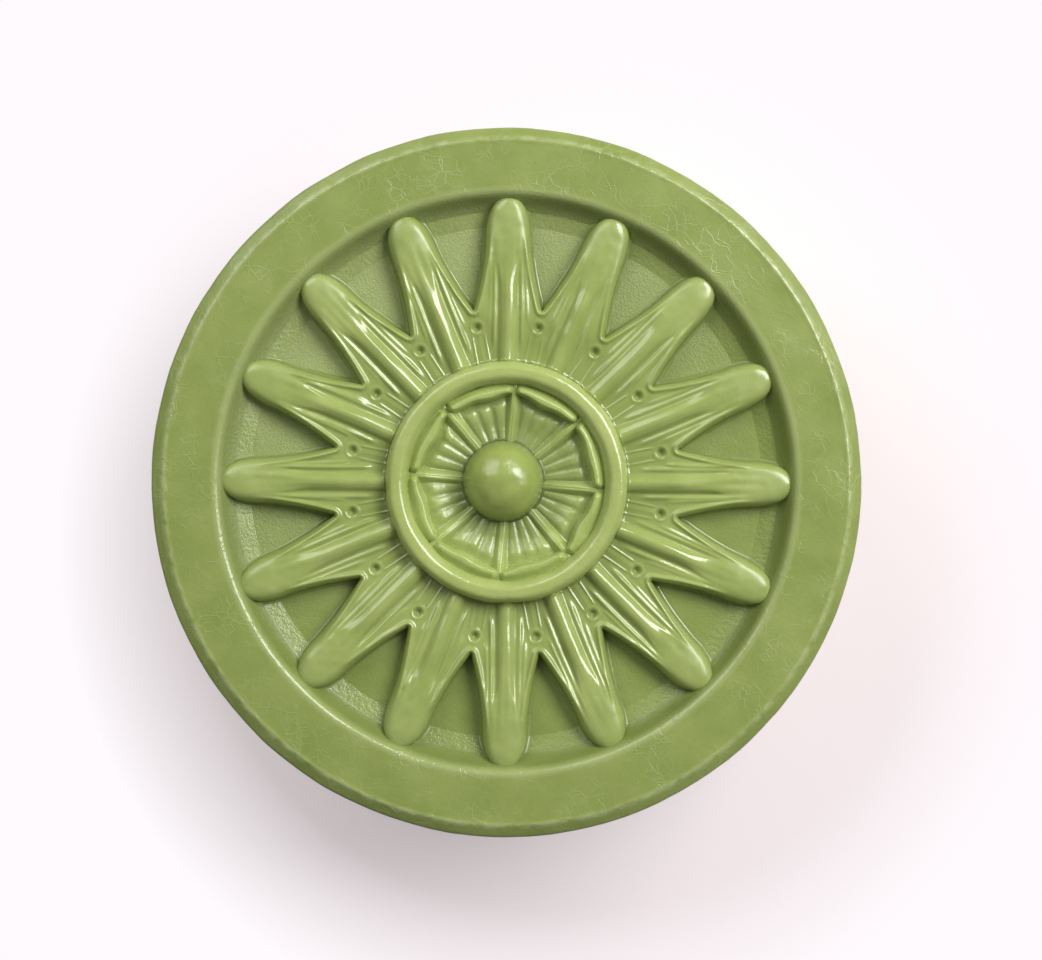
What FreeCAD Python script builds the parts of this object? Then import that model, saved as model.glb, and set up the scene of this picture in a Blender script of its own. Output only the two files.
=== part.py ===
import FreeCAD, Part
import os
import Sketcher
from FreeCAD import Vector

# A round shaving soap puck that carries a sixteen-ray rosette in a shallow recess.
#
# Frame: millimetres, +Z up through the relief, origin in the middle of the flat back,
# +Y along the first ray (apart from the small turn of the whole star).
#
# The disc carries the rim and the recessed floor.  On the floor stand the rays, the hub ring,
# the petals inside the ring and the centre dome.  Every member is a solid of its own and
# meets its neighbours face to face along the creases of the relief.

# Driving dimensions: alias, value, meaning.  Heights in the relief are taken from the floor.
SIZES = (
    ("puck_diameter", 70.0, "outside of the disc"),
    ("puck_height", 25.0, "back to the flat of the rim"),
    ("rim_width", 6.5, "outside of the disc to the inner edge of the rim"),
    ("shoulder_radius", 1.15, "round between the rim and the side"),
    ("back_radius", 0.8, "round between the back and the side"),
    ("recess_depth", 2.6, "flat of the rim down to the floor"),
    ("wall_slope", 1.4, "how far the recess wall leans inwards"),
    ("ledge_width", 2.0, "sloping band between the wall and the floor"),
    ("ledge_rise", 0.4, "how far that band climbs"),
    ("ray_count", 16, "rays in the star"),
    ("star_turn", 0.45, "turn of the star, clockwise, in degrees"),
    ("notch_radius", 17.35, "centre of the disc to the crotch between two rays"),
    ("waist_width", 5.1, "width of a ray halfway from the crotch to the tip"),
    ("tip_radius", 2.1, "round end of a ray"),
    ("tip_reach", 0.9, "how far a tip passes the foot of the recess wall"),
    ("web_height", 1.25, "flank of a ray, and the web between two of them"),
    ("flank_radius", 0.45, "round along the top of a flank"),
    ("rib_width", 2.1, "rib of a ray where it leaves the hub ring"),
    ("rib_waist_width", 2.9, "the same rib at the waist"),
    ("rib_height", 1.9, "crown of the rib"),
    ("tip_height", 2.1, "crown of the tip"),
    ("valley_radius", 0.5, "round hollow beside the rib, at the hub ring"),
    ("valley_end_radius", 0.25, "the same hollow where it dies out"),
    ("pit_place", 15.5, "centre of the disc to a pit"),
    ("pit_radius", 0.55, "round pit between two rays"),
    ("ring_diameter", 23.9, "outside of the hub ring"),
    ("ring_width", 2.35, "wall of the hub ring"),
    ("ring_side_height", 2.3, "straight side of the hub ring"),
    ("ring_height", 3.2, "crown of the hub ring"),
    ("petal_count", 8, "petals of the rosette"),
    ("petal_turn", 5.0, "first gap between petals, clockwise from +Y, in degrees"),
    ("petal_height", 0.9, "petal where it meets the dome"),
    ("petal_low_height", 0.75, "petal at the foot of its cap"),
    ("cap_width", 1.5, "raised cap at the outer end of a petal"),
    ("cap_height", 1.65, "crown of the cap"),
    ("cap_side_height", 1.25, "cap where it meets the hub ring"),
    ("flute_count", 3, "flutes in a petal"),
    ("flute_radius", 0.22, "flute of a petal beside the dome"),
    ("flute_end_radius", 0.5, "flute of a petal beside the cap"),
    ("dome_diameter", 8.0, "centre dome"),
    ("dome_side_height", 0.9, "straight foot of the dome"),
    ("dome_height", 4.5, "crown of the dome"),
)

# Lengths that follow from the driving dimensions, and the recess wall's two edges.
OUTSIDE = "Sizes.puck_diameter / 2"
TOP = "Sizes.puck_height"
FLOOR = "(Sizes.puck_height - Sizes.recess_depth)"
RIM_EDGE = "(Sizes.puck_diameter / 2 - Sizes.rim_width)"
WALL_FOOT = f"({RIM_EDGE} - Sizes.wall_slope)"
LEDGE_FOOT = f"({WALL_FOOT} - Sizes.ledge_width)"
TIP_CENTRE = f"({WALL_FOOT} + Sizes.tip_reach - Sizes.tip_radius)"
WAIST = f"((Sizes.notch_radius + {TIP_CENTRE}) / 2)"
HALF_STEP = "(180 / Sizes.ray_count)"
RING_OUT = "(Sizes.ring_diameter / 2)"
RING_IN = "(Sizes.ring_diameter / 2 - Sizes.ring_width)"
CAP_FOOT = f"({RING_IN} - Sizes.cap_width)"
DOME_OUT = "(Sizes.dome_diameter / 2)"

SAME_POINT = 1e-4


def above_floor(size):
    """Expression for a height that the sheet gives from the floor of the recess."""
    return f"({FLOOR} + Sizes.{size})"


def cap_point(half_width, side, crown):
    """Point on a round cap, over half of its half-width, whose centre is on the axis."""
    rise = f"({crown} - {side})"
    radius = f"(({half_width} ^ 2 + {rise} ^ 2) / (2 * {rise}))"
    return (f"({half_width} / 2)",
            f"({crown} - {radius} + sqrt({radius} ^ 2 - {half_width} ^ 2 / 4))")


def make_sheet(doc):
    """Put the driving dimensions in a spreadsheet, one alias a row."""
    sheet = doc.addObject("Spreadsheet::Sheet", "Sizes")
    for row, (alias, value, meaning) in enumerate(SIZES, start=1):
        sheet.set(f"A{row}", meaning)
        sheet.set(f"B{row}", str(value))
        sheet.setAlias(f"B{row}", alias)
    doc.recompute()
    return sheet


def origin_feature(body, role):
    """One of a body's own origin planes or axes."""
    return next(item for item in body.Origin.OriginFeatures if item.Role == role)


def new_sketch(body, name, plane, height=None):
    """Empty sketch on an origin plane of the body, or above it by an expression."""
    sketch = body.newObject("Sketcher::SketchObject", name)
    sketch.AttachmentSupport = [(origin_feature(body, plane), "")]
    sketch.MapMode = "FlatFace"
    if height is not None:
        sketch.setExpression("AttachmentOffset.Base.z", height)
    return sketch


def pin_point(sketch, shape, end, place):
    """Hold one point of a sketch at a pair of expressions."""
    value_x, value_y = (sketch.Document.Sizes.evalExpression(part) for part in place)
    for kind, value, text in (("DistanceX", value_x, place[0]), ("DistanceY", value_y, place[1])):
        if text == "0":
            axis = -2 if kind == "DistanceX" else -1
            sketch.addConstraint(Sketcher.Constraint("PointOnObject", shape, end, axis))
        else:
            number = sketch.addConstraint(Sketcher.Constraint(kind, -1, 1, shape, end, value))
            sketch.setExpression(f"Constraints[{number}]", text)


def draw_wire(sketch, start, sides):
    """Closed wire of straight sides and arcs, every corner held by expressions.

    A side is (corner,) when straight and (corner, through) when it is an arc through a point.
    """
    sheet = sketch.Document.Sizes

    def vector(place):
        return Vector(sheet.evalExpression(place[0]), sheet.evalExpression(place[1]), 0)

    # A sketch stores an arc counter-clockwise, so its two ends may come out swapped.
    ends = []
    corner = start
    for number, side in enumerate(sides):
        if len(side) == 1:
            shape = Part.LineSegment(vector(corner), vector(side[0]))
        else:
            shape = Part.Arc(vector(corner), vector(side[1]), vector(side[0]))
        sketch.addGeometry(shape, False)
        swapped = (sketch.getPoint(number, 1) - vector(corner)).Length > SAME_POINT
        ends.append((2, 1) if swapped else (1, 2))
        corner = side[0]
    for number, side in enumerate(sides):
        after = (number + 1) % len(sides)
        sketch.addConstraint(Sketcher.Constraint(
            "Coincident", number, ends[number][1], after, ends[after][0]))
        pin_point(sketch, number, ends[number][1], side[0])
        if len(side) == 2:
            guide = sketch.addGeometry(Part.Point(vector(side[1])), True)
            pin_point(sketch, guide, 1, side[1])
            sketch.addConstraint(Sketcher.Constraint("PointOnObject", guide, 1, number))


def mirrored(place):
    """The same point on the other side of the sketch's vertical axis."""
    return (f"-{place[0]}", place[1])


def new_body(doc, label, turn=None):
    """Empty body, turned about +Z by an expression in degrees."""
    body = doc.addObject("PartDesign::Body", label)
    body.Label = label
    if turn is not None:
        body.setExpression("Placement.Rotation.Angle", turn)
    return body


def revolve(body, sketch, kind="Revolution", angle="360"):
    """Turn a sketch about the body's Z axis, equally to both sides of its plane."""
    feature = body.newObject(f"PartDesign::{kind}", f"{sketch.Name}{kind}")
    feature.Profile = sketch
    feature.ReferenceAxis = (sketch, ["V_Axis"])
    feature.Midplane = True
    feature.setExpression("Angle", angle)
    return feature


def make_puck_body(doc):
    """Disc with a flat rim, a leaning recess wall, a sloping ledge and the floor."""
    body = new_body(doc, "puck_body")
    sketch = new_sketch(body, "PuckProfile", "XZ_Plane")
    back_in = f"({OUTSIDE} - Sizes.back_radius)"
    back_middle = (f"({back_in} + Sizes.back_radius * cos(45))",
                   "(Sizes.back_radius * (1 - sin(45)))")
    shoulder_in = f"({OUTSIDE} - Sizes.shoulder_radius)"
    shoulder_foot = f"({TOP} - Sizes.shoulder_radius)"
    shoulder_middle = (f"({shoulder_in} + Sizes.shoulder_radius * cos(45))",
                       f"({shoulder_foot} + Sizes.shoulder_radius * sin(45))")
    draw_wire(sketch, ("0", "0"), [
        ((back_in, "0"),),
        ((OUTSIDE, "Sizes.back_radius"), back_middle),
        ((OUTSIDE, shoulder_foot),),
        ((shoulder_in, TOP), shoulder_middle),
        ((RIM_EDGE, TOP),),
        ((WALL_FOOT, above_floor("ledge_rise")),),
        ((LEDGE_FOOT, FLOOR),),
        (("0", FLOOR),),
        (("0", "0"),),
    ])
    revolve(body, sketch)
    return body


def make_hub_ring(doc):
    """Ring with a rounded crown that the rays and the petals butt against."""
    body = new_body(doc, "hub_ring")
    sketch = new_sketch(body, "RingProfile", "XZ_Plane")
    side = above_floor("ring_side_height")
    draw_wire(sketch, (RING_IN, FLOOR), [
        ((RING_OUT, FLOOR),),
        ((RING_OUT, side),),
        ((RING_IN, side), (f"({RING_OUT} - Sizes.ring_width / 2)", above_floor("ring_height"))),
        ((RING_IN, FLOOR),),
    ])
    revolve(body, sketch)
    return body


def make_centre_dome(doc):
    """Dome on a short straight foot, inside the ring of petals."""
    body = new_body(doc, "centre_dome")
    sketch = new_sketch(body, "DomeProfile", "XZ_Plane")
    foot = above_floor("dome_side_height")
    crown = above_floor("dome_height")
    draw_wire(sketch, ("0", FLOOR), [
        ((DOME_OUT, FLOOR),),
        ((DOME_OUT, foot),),
        (("0", crown), cap_point(DOME_OUT, foot, crown)),
        (("0", FLOOR),),
    ])
    revolve(body, sketch)
    return body


def crowned_section(body, name, distance, half_width, side, crown):
    """Section of a ray across its length: flat foot, straight sides and a round crown."""
    sketch = new_sketch(body, name, "XZ_Plane", f"-{distance}")
    right_foot = (half_width, FLOOR)
    right_side = (half_width, side)
    draw_wire(sketch, right_foot, [
        (right_side,),
        (mirrored(right_side), ("0", crown)),
        (mirrored(right_foot),),
        (right_foot,),
    ])
    return sketch


def cut_cone(body, name, start, end, radius, end_radius):
    """Hollow of a round tool that is drawn level from start to end, widening or narrowing.

    Start and end are (x, y, z) triples of expressions at one height.
    """
    cone = body.newObject("PartDesign::SubtractiveCone", name)
    run_x = f"({end[0]} - {start[0]})"
    run_y = f"({end[1]} - {start[1]})"
    cone.setExpression("Radius1", radius)
    cone.setExpression("Radius2", end_radius)
    cone.setExpression("Height", f"sqrt({run_x} ^ 2 + {run_y} ^ 2)")
    turn = f"(atan2({run_y}; {run_x}))"
    cone.setExpression("Placement", (
        f"create(<<placement>>; create(<<vector>>; {start[0]}; {start[1]}; {start[2]}); "
        f"create(<<rotation>>; {turn}; 90; 0))"))
    return cone


def add_web(body, web_top):
    """Low part of a ray: a sector as far as the crotches, then hollow flanks up to the tip."""
    plan = new_sketch(body, "RayPlan", "XY_Plane", FLOOR)
    root = (f"({RING_OUT} * sin{HALF_STEP})", f"({RING_OUT} * cos{HALF_STEP})")
    crotch = (f"(Sizes.notch_radius * sin{HALF_STEP})", f"(Sizes.notch_radius * cos{HALF_STEP})")
    waist = ("(Sizes.waist_width / 2)", WAIST)
    shoulder = ("Sizes.tip_radius", TIP_CENTRE)
    draw_wire(plan, root, [
        (crotch,),
        (shoulder, waist),
        (mirrored(shoulder),),
        (mirrored(crotch), mirrored(waist)),
        (mirrored(root),),
        (root, ("0", RING_OUT)),
    ])
    web = body.newObject("PartDesign::Pad", "RayWeb")
    web.Profile = plan
    web.setExpression("Length", f"{web_top} - {FLOOR}")
    body.Document.recompute()
    box = web.Shape.BoundBox
    flanks = [
        f"Edge{place}" for place, edge in enumerate(web.Shape.Edges, start=1)
        if edge.Curve.TypeId == "Part::GeomCircle"
        and edge.BoundBox.ZMin > box.ZMax - SAME_POINT
        and edge.BoundBox.YMax > box.YMax - SAME_POINT
    ]
    round_over = body.newObject("PartDesign::Fillet", "RayFlanks")
    round_over.Base = (web, flanks)
    round_over.setExpression("Radius", "Sizes.flank_radius")


def add_rib(body, web_top):
    """Rib that swells from the hub ring into the tip, and the tip turned about its centre."""
    rib_crown = above_floor("rib_height")
    tip_crown = above_floor("tip_height")
    rib = body.newObject("PartDesign::AdditiveLoft", "RayRib")
    rib.Profile = crowned_section(body, "RibStart", f"({RING_OUT} - Sizes.rib_width / 2)",
                                  "(Sizes.rib_width / 2)", web_top, rib_crown)
    rib.Sections = [
        crowned_section(body, "RibWaist", WAIST, "(Sizes.rib_waist_width / 2)", web_top, rib_crown),
        crowned_section(body, "RibEnd", TIP_CENTRE, "Sizes.tip_radius", web_top, tip_crown),
    ]
    rib.Ruled = True
    half_tip = new_sketch(body, "TipProfile", "XZ_Plane", f"-{TIP_CENTRE}")
    draw_wire(half_tip, ("0", FLOOR), [
        (("Sizes.tip_radius", FLOOR),),
        (("Sizes.tip_radius", web_top),),
        (("0", tip_crown), cap_point("Sizes.tip_radius", web_top, tip_crown)),
        (("0", FLOOR),),
    ])
    revolve(body, half_tip)


def cut_valleys(body, web_top):
    """Hollows beside the rib, which leave a bead along each flank."""
    for side, sign in (("Right", ""), ("Left", "-")):
        start = (f"({sign}(Sizes.rib_width / 2 + Sizes.valley_radius))", RING_OUT, web_top)
        end = (f"({sign}(Sizes.rib_waist_width / 2 + Sizes.valley_end_radius))", WAIST, web_top)
        cut_cone(body, f"{side}Valley", start, end,
                 "Sizes.valley_radius", "Sizes.valley_end_radius")


def cut_pits(body, web_top):
    """This ray's half of the two pits that it shares with its neighbours."""
    for side, sign in (("Right", ""), ("Left", "-")):
        pit = body.newObject("PartDesign::SubtractiveSphere", f"{side}Pit")
        pit.setExpression("Radius", "Sizes.pit_radius")
        pit.setExpression("Placement.Base.x", f"{sign}Sizes.pit_place * sin{HALF_STEP}")
        pit.setExpression("Placement.Base.y", f"Sizes.pit_place * cos{HALF_STEP}")
        pit.setExpression("Placement.Base.z", web_top)


def bed_ray(body):
    """Cut the tip back to the ledge and wall of the recess, and the root to the hub ring."""
    bed = new_sketch(body, "RimBed", "XZ_Plane")
    draw_wire(bed, (LEDGE_FOOT, FLOOR), [
        ((WALL_FOOT, above_floor("ledge_rise")),),
        ((RIM_EDGE, TOP),),
        ((OUTSIDE, TOP),),
        ((OUTSIDE, "Sizes.back_radius"),),
        ((LEDGE_FOOT, "Sizes.back_radius"),),
        ((LEDGE_FOOT, FLOOR),),
    ])
    revolve(body, bed, kind="Groove")
    ring_bed = body.newObject("PartDesign::SubtractiveCylinder", "RingBed")
    ring_bed.setExpression("Radius", RING_OUT)
    ring_bed.setExpression("Height", TOP)
    ring_bed.setExpression("Placement.Base.z", FLOOR)


def make_ray(doc, number):
    """One ray of the star, turned clockwise from the first by its number."""
    turn = f"mod(720 - Sizes.star_turn - {number - 1} * 360 / Sizes.ray_count; 360)"
    body = new_body(doc, f"ray_{number:02d}", turn)
    web_top = above_floor("web_height")
    add_web(body, web_top)
    add_rib(body, web_top)
    cut_valleys(body, web_top)
    cut_pits(body, web_top)
    bed_ray(body)
    return body


def make_petal(doc, number):
    """One petal of the rosette: fluted blade with a raised cap against the hub ring."""
    turn = f"mod(720 - Sizes.petal_turn - {number - 0.5} * 360 / Sizes.petal_count; 360)"
    body = new_body(doc, f"petal_{number}", turn)
    sketch = new_sketch(body, "PetalProfile", "YZ_Plane")
    cap_foot = (CAP_FOOT, above_floor("petal_low_height"))
    cap_side = (RING_IN, above_floor("cap_side_height"))
    draw_wire(sketch, (DOME_OUT, FLOOR), [
        ((RING_IN, FLOOR),),
        (cap_side,),
        (cap_foot, (f"({RING_IN} - Sizes.cap_width / 2)", above_floor("cap_height"))),
        ((DOME_OUT, above_floor("petal_height")),),
        ((DOME_OUT, FLOOR),),
    ])
    revolve(body, sketch, angle="360 / Sizes.petal_count")
    flute_top = above_floor("petal_height")
    for place in range(int(doc.Sizes.flute_count)):
        lean = (f"(({place} + 0.5 - Sizes.flute_count / 2)"
                " * 360 / Sizes.petal_count / Sizes.flute_count)")
        start = (f"({DOME_OUT} * sin{lean})", f"({DOME_OUT} * cos{lean})", flute_top)
        end = (f"({CAP_FOOT} * sin{lean})", f"({CAP_FOOT} * cos{lean})", flute_top)
        cut_cone(body, f"Flute{place + 1}", start, end,
                 "Sizes.flute_radius", "Sizes.flute_end_radius")
    return body


def check_document(doc, bodies):
    """Stop if any object failed or any sub-part has no good solid."""
    failed = [item.Name for item in doc.Objects if {"Invalid", "Error"} & set(item.State)]
    if failed:
        raise RuntimeError(f"failed objects: {failed}")
    for body in bodies:
        if body.Shape.isNull() or not body.Shape.isValid() or len(body.Shape.Solids) != 1:
            raise RuntimeError(f"{body.Label} is not one valid solid")


def main():
    doc = FreeCAD.newDocument("ShavingSoapPuck")
    sheet = make_sheet(doc)
    bodies = [make_puck_body(doc), make_hub_ring(doc), make_centre_dome(doc)]
    bodies += [make_ray(doc, number + 1) for number in range(int(sheet.ray_count))]
    bodies += [make_petal(doc, number + 1) for number in range(int(sheet.petal_count))]
    doc.recompute()
    check_document(doc, bodies)
    os.makedirs("parts", exist_ok=True)
    for body in bodies:
        body.Shape.exportStep(f"parts/{body.Label}.step")


main()
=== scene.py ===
import math

import bmesh
import bpy
import numpy as np
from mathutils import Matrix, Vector


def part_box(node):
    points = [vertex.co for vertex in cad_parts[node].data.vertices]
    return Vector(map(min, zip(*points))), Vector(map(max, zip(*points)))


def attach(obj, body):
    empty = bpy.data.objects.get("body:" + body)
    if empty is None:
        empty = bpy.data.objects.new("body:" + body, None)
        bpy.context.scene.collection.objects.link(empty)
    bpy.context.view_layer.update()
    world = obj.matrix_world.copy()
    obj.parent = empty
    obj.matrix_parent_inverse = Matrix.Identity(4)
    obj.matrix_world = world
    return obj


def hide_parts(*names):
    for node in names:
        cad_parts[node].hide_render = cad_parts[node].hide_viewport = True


# Shaving soap puck: the looks.  Every CAD node is replaced by a modelled mesh of the same
# member, worked out as a height over the plan.  Lengths are in millimetres until a mesh, a
# material or a lamp is made.  Angles of rays and petals run clockwise from +Y, seen from above.

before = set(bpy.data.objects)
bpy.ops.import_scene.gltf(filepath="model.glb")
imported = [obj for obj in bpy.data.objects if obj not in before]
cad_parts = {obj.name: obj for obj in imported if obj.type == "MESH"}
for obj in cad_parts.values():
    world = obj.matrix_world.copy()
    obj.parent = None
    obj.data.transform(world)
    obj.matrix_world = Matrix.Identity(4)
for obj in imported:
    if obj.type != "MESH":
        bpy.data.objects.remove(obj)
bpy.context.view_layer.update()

MM = 0.001

# ---------------------------------------------------------------- sizes from the frame

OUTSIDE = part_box("puck_body")[1].x / MM
RIM_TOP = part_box("puck_body")[1].z / MM
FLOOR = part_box("hub_ring")[0].z / MM
RING_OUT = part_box("hub_ring")[1].x / MM
RING_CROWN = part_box("hub_ring")[1].z / MM - FLOOR
DOME_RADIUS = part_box("centre_dome")[1].x / MM
DOME_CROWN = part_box("centre_dome")[1].z / MM - FLOOR
RAYS = sorted(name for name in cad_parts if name.startswith("ray_"))
PETALS = sorted(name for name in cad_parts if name.startswith("petal_"))
RECESS = RIM_TOP - FLOOR

# ---------------------------------------------------------------- sizes of the relief

# Hub ring: its width, and the height over the floor at its two edges.
RING_WIDTH = 2.35
RING_IN = RING_OUT - RING_WIDTH
RING_SIDE_IN = 1.20
RING_SIDE_OUT = 1.80

# Rays: neighbours part at the notch, and each ray ends in half an oval.
STAR_TURN = 0.45
RAY_STEP = 360 / len(RAYS)
HALF_RAY = math.radians(RAY_STEP / 2)
NOTCH_RADIUS = 17.4
NOTCH_X = NOTCH_RADIUS * math.sin(HALF_RAY)
NOTCH_Y = NOTCH_RADIUS * math.cos(HALF_RAY)
TIP_HALF = 2.24
TIP_LENGTH = 4.2
TIP_END = 28.5
TIP_CENTRE = TIP_END - TIP_LENGTH
FOOT_FILLET = 0.36

# Heights on a ray: its bed over the floor, the rest over the bed, and the depth of a hollow.
BED_HEIGHT = 1.34
BED_RISE = 0.32
FINGER_SWELL = 0.18
FINGER_CROWN = 0.36
SHELF_HEIGHT = 0.33
CREST_HEIGHT = 0.34
LONG_RIDGE = 0.20
SHORT_RIDGE = 0.12
BEAD_HEIGHT = 0.24
ROOT_BEAD = 0.10
FINGER_HOLLOW = 0.07

# Stretches along a ray, as distances from the axis, over which a feature comes or goes.
BED_RISES = (12.0, 18.0)
FINGER_SWELLS = (18.5, 25.0)
RIB_SPREADS = (18.5, 24.5)
RIB_FADES = (17.5, 25.0)
LONG_RIDGE_STARTS = (12.6, 14.6)
LONG_RIDGE_ENDS = (20.6, 24.4)
SHORT_RIDGE_STARTS = (15.2, 16.8)
SHORT_RIDGE_ENDS = (20.5, 23.0)
BEAD_ENDS = (22.0, 25.2)
SAG_ENDS = (14.6, 16.8)
FLUTE_ENDS = (14.2, 15.0)
FINGER_ROUNDS = (20.5, 26.0)

# Pit between two neighbours: distance from the axis, radius, depth and height of its lip.
PIT_PLACE = 15.5
PIT_RADIUS = 0.58
PIT_DEPTH = 0.50
PIT_LIP = 0.05

# Petals: where the cap starts, the heights of the cap, the tray and what lies in it, and the
# width of a rib, in radians.
PETAL_STEP = 360 / len(PETALS)
PETAL_TURN = 5.0
CAP_EDGE = 8.2
CAP_HEIGHT = 2.45
TRAY_HEIGHT = 0.40
TRAY_RISE = 0.50
BORDER_HEIGHT = 0.46
BORDER_RISE = 0.40
PETAL_GROOVE = 0.05
PETAL_RIB_WIDTH = 0.085

# Disc: a sloping ledge round the floor, the leaning wall, the flat rim and its bevelled edge.
# The wall's steep share is a step in its middle; the rest of its height is a rounded rise.
LEDGE_IN = 25.25
LEDGE_OUT = 26.85
LEDGE_RISE = 0.5
RIM_IN = 28.95
RIM_OUT = 33.55
WALL_EASING = 2.1
WALL_STEEP_SHARE = 0.65
BEVEL_TILT = 31
CREASE_ROUND = 0.85
CORNER_ROUND = 0.55
BACK_ROUND = 0.8

# Centre dome: a little off the axis, and where it ends above a fillet.
DOME_SHIFT = (-0.30, 0.14)
DOME_FOOT = 0.70
DOME_FILLET = 0.20

# Every member on the disc reaches this far below the floor, so that no gap shows.
BURIED = 0.15


# ---------------------------------------------------------------- shape helpers

def smooth(low, high, value):
    """0 below low, 1 above high and a smooth step between them."""
    share = np.clip((value - low) / (high - low), 0, 1)
    return share ** 3 * (share * (6 * share - 15) + 10)


def bump(distance, width):
    """Round ridge of height 1 over distance 0."""
    return np.exp(-(distance / width) ** 2)


def round_cap(share):
    """Quarter-round from 1 at share 0 down to 0 at share 1."""
    return np.sqrt(1 - np.clip(share, 0, 1) ** 2)


class Ripples:
    """Smooth random heights over the plan: a sum of plane waves about one wavelength long."""

    def __init__(self, seed, wavelength, amount, count=28):
        draw = np.random.default_rng(seed)
        turn = draw.uniform(0, 2 * math.pi, count)
        number = 2 * math.pi / (wavelength * draw.uniform(0.6, 1.6, count))
        self.waves = list(zip(number * np.cos(turn), number * np.sin(turn),
                              draw.uniform(0, 2 * math.pi, count)))
        self.amount = amount / math.sqrt(count / 2)

    def __call__(self, x, y):
        total = sum(np.sin(a * x + b * y + c) for a, b, c in self.waves)
        return self.amount * total


SOFT_WAVES = Ripples(11, 9.0, 0.018)
HAND_WAVES = Ripples(12, 2.6, 0.006)
FINE_WAVES = Ripples(13, 0.9, 0.002)


def hand_worked(x, y):
    """Slight unevenness that runs over every member alike, in world plan coordinates."""
    return SOFT_WAVES(x, y) + HAND_WAVES(x, y) + FINE_WAVES(x, y)


def full_turn(steps):
    """Angles once round the axis, as a column."""
    return np.linspace(0, 2 * math.pi, steps, endpoint=False)[:, None]


def turned(x, y, clockwise):
    """Local plan coordinates turned clockwise about the centre, in degrees."""
    angle = math.radians(clockwise)
    return (x * math.cos(angle) + y * math.sin(angle),
            -x * math.sin(angle) + y * math.cos(angle))


# ---------------------------------------------------------------- mesh helpers

def as_points(x, y, z):
    """Grids of coordinates as one list of points, row after row."""
    return np.stack([x, y, z], -1).reshape(-1, 3)


def grid_faces(rows, columns, closed_rows=False):
    """Quads of a grid of points; with closed_rows the last row joins the first."""
    last = rows if closed_rows else rows - 1
    i, j = np.meshgrid(np.arange(last), np.arange(columns - 1), indexing="ij")
    here, after = i * columns, ((i + 1) % rows) * columns
    faces = np.stack([here + j, here + j + 1, after + j + 1, after + j], -1)
    return faces.reshape(-1, 4).tolist()


def underside_faces(rows, columns, closed_rows=False):
    """Quads that join the last column of a grid back to its first one, under the piece."""
    last = rows if closed_rows else rows - 1
    faces = []
    for row in range(last):
        here, after = row * columns, ((row + 1) % rows) * columns
        faces.append([here, after, after + columns - 1, here + columns - 1])
    return faces


def row_face(row, columns):
    """One face over a whole row of a grid, which closes that end."""
    return list(range(row * columns, (row + 1) * columns))


def make_piece(name, points, faces, material, node):
    """Mesh piece that replaces a CAD node: points in millimetres, made watertight."""
    mesh = bpy.data.meshes.new(name)
    mesh.from_pydata((np.asarray(points) * MM).tolist(), [], faces)
    work = bmesh.new()
    work.from_mesh(mesh)
    bmesh.ops.remove_doubles(work, verts=work.verts, dist=2e-7)
    bmesh.ops.dissolve_degenerate(work, edges=work.edges, dist=1e-7)
    bmesh.ops.recalc_face_normals(work, faces=work.faces)
    work.to_mesh(mesh)
    work.free()
    mesh.shade_smooth()
    mesh.set_sharp_from_angle(angle=math.radians(62))
    mesh.materials.append(material)
    piece = bpy.data.objects.new(name, mesh)
    bpy.context.scene.collection.objects.link(piece)
    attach(piece, "root")
    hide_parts(node)
    return piece


# ---------------------------------------------------------------- node helpers

def link(tree, source, target):
    """Wire one socket to another."""
    tree.links.new(source, target)


def add_node(tree, kind, **inputs):
    """Add a node and set its inputs by name, with spaces written as underscores."""
    node = tree.nodes.new(kind)
    for key, value in inputs.items():
        node.inputs[key.replace("_", " ")].default_value = value
    return node


def noise(tree, place, scale, detail=3.0, roughness=0.55, distortion=0.0):
    """Noise texture read at the object's own coordinates."""
    node = add_node(tree, "ShaderNodeTexNoise", Scale=scale, Detail=detail,
                    Roughness=roughness, Distortion=distortion)
    link(tree, place, node.inputs["Vector"])
    return node.outputs["Fac"]


def ramp(tree, source, low, high, low_value=0.0, high_value=1.0):
    """Map a value from one range to another, clamped."""
    node = add_node(tree, "ShaderNodeMapRange", From_Min=low, From_Max=high,
                    To_Min=low_value, To_Max=high_value)
    link(tree, source, node.inputs["Value"])
    return node.outputs["Result"]


def maths(tree, operation, first, second=None):
    """Math node; either operand may be a socket or a number."""
    node = tree.nodes.new("ShaderNodeMath")
    node.operation = operation
    for place, value in enumerate((first, second)):
        if value is None:
            continue
        if isinstance(value, (int, float)):
            node.inputs[place].default_value = value
        else:
            link(tree, value, node.inputs[place])
    return node.outputs["Value"]


def plus(tree, first, second):
    """Sum of two values."""
    return maths(tree, "ADD", first, second)


def minus(tree, first, second):
    """First value less the second."""
    return maths(tree, "SUBTRACT", first, second)


def times(tree, first, second):
    """Product of two values."""
    return maths(tree, "MULTIPLY", first, second)


def vector_maths(tree, operation, first, second):
    """Vector Math node on a socket and a second vector, as a socket or three numbers."""
    node = tree.nodes.new("ShaderNodeVectorMath")
    node.operation = operation
    link(tree, first, node.inputs[0])
    if isinstance(second, tuple):
        node.inputs[1].default_value = second
    else:
        link(tree, second, node.inputs[1])
    return node.outputs["Vector"]


def split_axes(tree, place):
    """X, Y and Z of a point."""
    node = tree.nodes.new("ShaderNodeSeparateXYZ")
    link(tree, place, node.inputs["Vector"])
    return node.outputs["X"], node.outputs["Y"], node.outputs["Z"]


def radius_from_axis(tree, place):
    """Distance of a point from the puck's axis, in metres."""
    x, y, _ = split_axes(tree, place)
    return maths(tree, "SQRT", plus(tree, times(tree, x, x), times(tree, y, y)))


def band(tree, radius, start, full, last, end):
    """1 between two radii in millimetres, fading to 0 on both sides."""
    rise = ramp(tree, radius, start * MM, full * MM)
    fall = ramp(tree, radius, last * MM, end * MM, 1.0, 0.0)
    return times(tree, rise, fall)


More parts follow.
